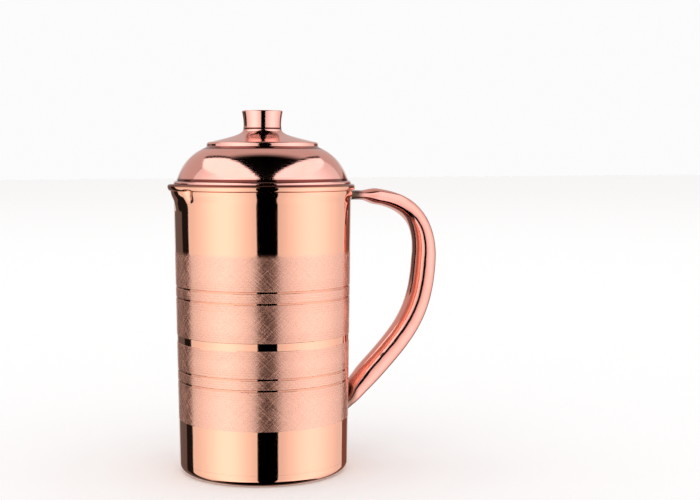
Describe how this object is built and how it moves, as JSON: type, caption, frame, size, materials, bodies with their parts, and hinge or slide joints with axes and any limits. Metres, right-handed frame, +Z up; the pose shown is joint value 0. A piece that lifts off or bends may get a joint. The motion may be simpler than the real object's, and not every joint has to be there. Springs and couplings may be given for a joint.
{
  "type": "lidded water jug",
  "caption": "Tapered copper water jug with a pressed pouring lip, turned bright bands, a hollow ear-shaped handle and a domed lid with a tumbler-shaped knob that lifts off.",
  "frame": {"origin": "centre of the ring that the jug stands on, on the table", "axes": "+Z up along the jug's axis, +X towards the handle, -X towards the pouring lip"},
  "size_m": [0.1612, 0.1028, 0.2004],
  "materials": {
    "copper_body": "polished bands and fine brushed satin copper",
    "copper_handle": "polished copper",
    "copper_lid": "polished copper",
    "copper_inner": "plain rolled copper",
    "brass_fittings": "turned brass"
  },
  "bodies": {
    "jug": {"body_wall": "copper_body", "rim_wire": "copper_inner", "lip_wire": "copper_inner", "base_pan": "copper_body", "handle_near_half": "copper_handle", "handle_far_half": "copper_handle", "upper_foot_plate": "copper_handle", "lower_foot_plate": "copper_handle"},
    "lid": {"lid_dome": "copper_lid", "lid_locating_ring": "copper_inner", "knob_shell": "copper_lid", "knob_boss": "brass_fittings", "knob_screw": "brass_fittings", "knob_washer": "brass_fittings"}
  },
  "joints": [
    {"name": "lid_lift", "type": "slide", "parent": "jug", "child": "lid", "axis": [0, 0, 1], "range_m": [0, 0.06]}
  ]
}
